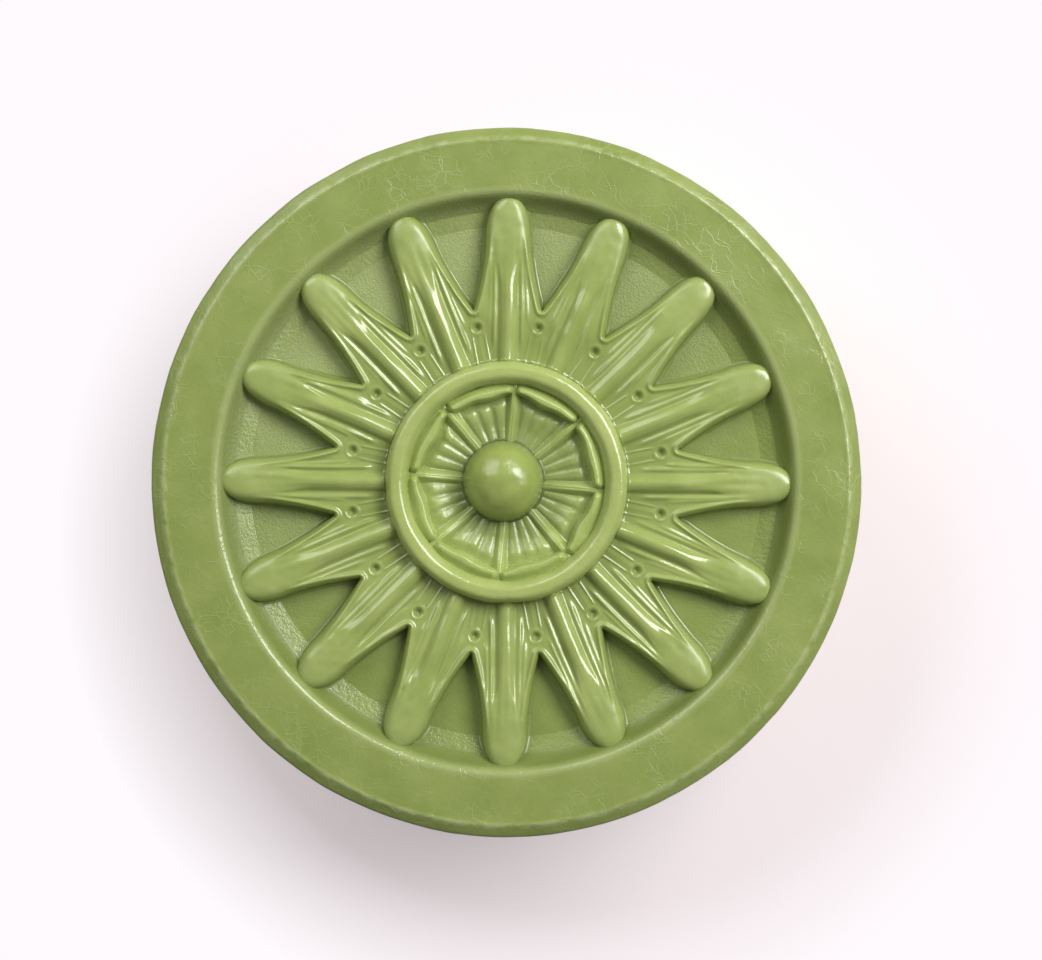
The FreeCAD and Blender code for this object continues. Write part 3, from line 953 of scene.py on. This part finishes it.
def make_petal(node, number, material):
    """One petal: fluted blade, thin side borders and a pillowy cap along the ring."""
    half = math.radians(PETAL_STEP / 2)
    radii = np.linspace(DOME_RADIUS - 0.55, RING_IN + 0.25, 88)
    share = np.linspace(-1, 1, 99)
    spread = 0.75 * share + 0.25 * np.sin(share * math.pi / 2)
    radius, angle = np.meshgrid(radii, spread * half, indexing="ij")
    height = petal_surface(radius, angle, number)
    foot = np.full((len(radii), 1), -BURIED)
    height = np.concatenate([foot, height, foot], 1)
    radius = np.concatenate([radius[:, :1], radius, radius[:, -1:]], 1)
    angle = np.concatenate([angle[:, :1], angle, angle[:, -1:]], 1)
    x, y = turned(radius * np.sin(angle), radius * np.cos(angle),
                  PETAL_TURN + PETAL_STEP * (number + 0.5))
    height = FLOOR + height + (height > 0) * hand_worked(x, y)
    rows, columns = height.shape
    faces = grid_faces(rows, columns) + underside_faces(rows, columns)
    faces += [row_face(0, columns), row_face(rows - 1, columns)]
    return make_piece(node, as_points(x, y, height), faces, material, node)


# ---------------------------------------------------------------- centre dome

def make_dome(material):
    """Centre dome: a little off centre, softly dented, with a fillet round its foot."""
    steps = 220
    turn = full_turn(steps)
    lean = np.radians(np.linspace(0, 90, 60))[None, :]
    radius = DOME_RADIUS * np.sin(lean)
    height = DOME_FOOT + (DOME_CROWN - DOME_FOOT) * np.cos(lean)
    curl = np.radians(np.linspace(0, 90, 8))[None, :]
    fillet_top = DOME_FOOT + DOME_FILLET - 0.12
    radius = np.concatenate([radius, DOME_RADIUS + 0.02 + DOME_FILLET * (1 - np.cos(curl))], 1)
    height = np.concatenate([height, fillet_top - DOME_FILLET * np.sin(curl)], 1)
    radius = np.concatenate([radius, radius[:, -1:]], 1)
    height = np.concatenate([height, np.full((1, 1), -BURIED)], 1)
    radius = np.tile(radius, (steps, 1))
    height = np.tile(height, (steps, 1))
    x = DOME_SHIFT[0] + radius * np.sin(turn)
    y = DOME_SHIFT[1] + radius * np.cos(turn)
    dents = Ripples(41, 2.2, 0.018)
    height = FLOOR + height + smooth(0.5, 1.4, height) * (dents(x, y) - 0.03)
    columns = height.shape[1]
    faces = grid_faces(steps, columns, closed_rows=True)
    faces.append([row * columns + columns - 1 for row in range(steps)])
    points = as_points(x, y, height)
    return make_piece("dome", points, faces, material, "centre_dome")


# ---------------------------------------------------------------- floor

# The floor, as the camera sees it: plain and pale, with the shadow kept near the puck.
BACKDROP = (1.0, 0.956, 0.99)
SHADOW_TINT = (1.0, 0.905, 0.93)
SHADOW_FLOOR = 0.60
SHADOW_LIFT = 0.43
SHADOW_MIDDLE = (6.0, -6.0)
SHADOW_FULL = 40
SHADOW_END = 54
# The colour that it throws back on the puck.
FLOOR_UNSEEN = (0.55, 0.53, 0.54)
# Metres from the axis to each side of the floor.
FLOOR_REACH = 3.0


def diffuse(tree, colour):
    """Plain diffuse shader."""
    return add_node(tree, "ShaderNodeBsdfDiffuse", Color=(*colour, 1)).outputs["BSDF"]


def emission(tree, colour, strength=1.0):
    """Plain glow."""
    node = add_node(tree, "ShaderNodeEmission", Color=(*colour, 1), Strength=strength)
    return node.outputs["Emission"]


def mix_shader(tree, share, first, second):
    """Blend of two shaders."""
    node = tree.nodes.new("ShaderNodeMixShader")
    link(tree, share, node.inputs["Fac"])
    link(tree, first, node.inputs[1])
    link(tree, second, node.inputs[2])
    return node.outputs["Shader"]


def floor_material():
    """Pale floor, lifted for the camera as in a high-key shot; it keeps the puck's shadow."""
    material = bpy.data.materials.new("studio_floor")
    material.use_nodes = True
    tree = material.node_tree
    tree.nodes.clear()
    place = tree.nodes.new("ShaderNodeTexCoord").outputs["Object"]
    middle = (SHADOW_MIDDLE[0] * MM, SHADOW_MIDDLE[1] * MM, 0)
    radius = radius_from_axis(tree, vector_maths(tree, "SUBTRACT", place, middle))
    away = ramp(tree, radius, SHADOW_FULL * MM, SHADOW_END * MM)
    near = tree.nodes.new("ShaderNodeAddShader")
    link(tree, diffuse(tree, tuple(SHADOW_FLOOR * part for part in SHADOW_TINT)), near.inputs[0])
    link(tree, emission(tree, SHADOW_TINT, SHADOW_LIFT), near.inputs[1])
    seen = mix_shader(tree, away, near.outputs["Shader"], emission(tree, BACKDROP))
    is_camera = tree.nodes.new("ShaderNodeLightPath").outputs["Is Camera Ray"]
    surface = mix_shader(tree, is_camera, diffuse(tree, FLOOR_UNSEEN), seen)
    output = tree.nodes.new("ShaderNodeOutputMaterial")
    link(tree, surface, output.inputs["Surface"])
    return material


def make_floor():
    """Flat floor that the puck lies on."""
    mesh = bpy.data.meshes.new("studio_floor")
    corners = [(x * FLOOR_REACH, y * FLOOR_REACH, 0) for x, y in ((-1, -1), (1, -1), (1, 1), (-1, 1))]
    mesh.from_pydata(corners, [], [(0, 1, 2, 3)])
    mesh.materials.append(floor_material())
    floor = bpy.data.objects.new("studio_floor", mesh)
    bpy.context.scene.collection.objects.link(floor)


# ---------------------------------------------------------------- light and camera

# Lamps: their distance and sizes are in metres.
LAMP_DISTANCE = 0.55

# Camera: how wide its view is at the rim, and where its middle lies over the puck.
LENS = 100.0
SENSOR = 36.0
VIEW_WIDTH = 102.317
VIEW_MIDDLE = (1.44, 0.23)


def add_softbox(name, clockwise, elevation, width, height, share):
    """Oval soft lamp aimed at the puck; share is the part of plain level it gives."""
    azimuth, lift = math.radians(clockwise), math.radians(elevation)
    way = Vector((math.sin(azimuth) * math.cos(lift), math.cos(azimuth) * math.cos(lift),
                  math.sin(lift)))
    lamp = bpy.data.lights.new(name, "AREA")
    lamp.shape = "ELLIPSE"
    lamp.size = width
    lamp.size_y = height
    # A flat lamp of power P gives P / (pi d^2) at distance d straight ahead.
    lamp.energy = share * math.pi ** 2 * LAMP_DISTANCE ** 2 / math.sin(lift)
    item = bpy.data.objects.new(name, lamp)
    item.location = way * LAMP_DISTANCE + Vector((0, 0, RIM_TOP * MM))
    item.rotation_euler = (-way).to_track_quat("-Z", "Y").to_euler()
    bpy.context.scene.collection.objects.link(item)


def make_room():
    """White room, dark at the horizon and brighter upwards, dimmer again right overhead."""
    world = bpy.data.worlds.new("room")
    bpy.context.scene.world = world
    world.use_nodes = True
    tree = world.node_tree
    background = tree.nodes["Background"]
    background.inputs["Color"].default_value = (1, 1, 1, 1)
    direction = tree.nodes.new("ShaderNodeTexCoord").outputs["Generated"]
    upward = split_axes(tree, direction)[2]
    rising = ramp(tree, upward, 0.0, 0.8, 0.01, 0.19)
    overhead = ramp(tree, upward, 0.84, 0.96, 1.0, 0.50)
    link(tree, times(tree, rising, overhead), background.inputs["Strength"])


def make_lights():
    """Key softbox at the upper right, a weaker one at the upper left, and the room."""
    add_softbox("key_softbox", clockwise=56, elevation=45, width=0.46, height=0.26, share=0.71)
    add_softbox("fill_softbox", clockwise=322, elevation=38, width=0.42, height=0.42, share=0.24)
    make_room()


def make_camera():
    """Camera straight above the puck, at the distance that its view's width asks for."""
    distance = VIEW_WIDTH * LENS / SENSOR
    camera = bpy.data.cameras.new("camera")
    camera.lens = LENS
    camera.sensor_width = SENSOR
    item = bpy.data.objects.new("camera", camera)
    item.location = (VIEW_MIDDLE[0] * MM, VIEW_MIDDLE[1] * MM, (RIM_TOP + distance) * MM)
    bpy.context.scene.collection.objects.link(item)
    bpy.context.scene.camera = item


# ---------------------------------------------------------------- build

make_camera()
make_disc(body_material("soap_body"))

# In each relief soap, low and high bound its painted shade, in millimetres over the floor.
# The ring soap is paler than the disc's, partly to stand in for its sheen: painted sheen.
RING_TINT = (1.54, 1.47, 1.75)
make_ring(relief_material("soap_ring", gloss=0.18, tint=RING_TINT, low=1.2, high=2.3, grain=0.10))

RAY_TINT = (1.28, 1.26, 1.38)
ray_soap = relief_material("soap_rays", gloss=0.14, tint=RAY_TINT, low=0.5, high=1.90)
for number, node in enumerate(RAYS):
    make_ray(node, number, ray_soap)

PETAL_TINT = (1.46, 1.43, 1.58)
petal_soap = relief_material("soap_petals", gloss=0.25, tint=PETAL_TINT, low=0.35, high=1.25,
                             grain=0.13, shade_share=0.62)
for number, node in enumerate(PETALS):
    make_petal(node, number, petal_soap)

# The dome has the deepest painted shade, darkening it towards its foot.
DOME_TINT = (1.22, 1.21, 1.16)
make_dome(relief_material("soap_dome", gloss=0.17, tint=DOME_TINT, low=0.7, high=3.2,
                          grain=0.09, shade_share=0.45))

make_floor()
make_lights()
bpy.context.scene.view_settings.view_transform = "Standard"
